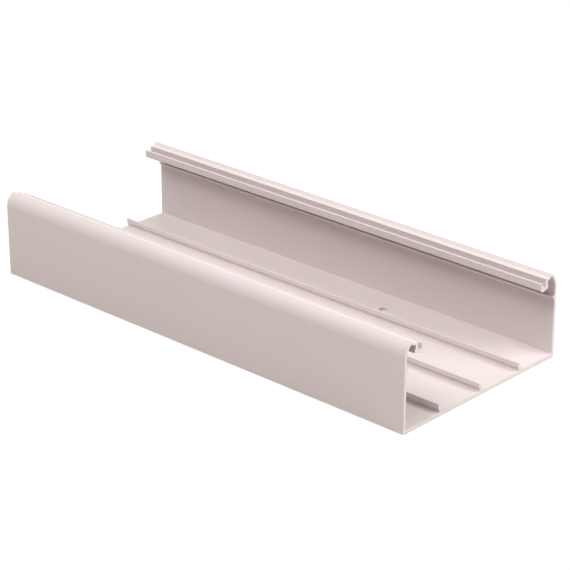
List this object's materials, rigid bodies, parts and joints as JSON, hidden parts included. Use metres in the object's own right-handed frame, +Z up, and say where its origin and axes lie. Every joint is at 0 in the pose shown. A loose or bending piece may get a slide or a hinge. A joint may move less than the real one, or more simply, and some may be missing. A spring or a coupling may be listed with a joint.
{
  "type": "cable trunking",
  "caption": "Open-topped rectangular cable trunking base, extruded in one piece, with rounded shoulders, hooked cover rails and hook-headed partition ribs along its floor.",
  "frame": {"origin": "middle of the underside of the floor", "axes": "+X along the length towards the end nearest the camera in the picture, +Y across towards the back wall, +Z up out of the open top"},
  "size_m": [0.24, 0.1, 0.04],
  "materials": {
    "pvc": "satin warm white rigid PVC"
  },
  "bodies": {
    "root": {"trunking_base": "pvc"}
  },
  "joints": []
}
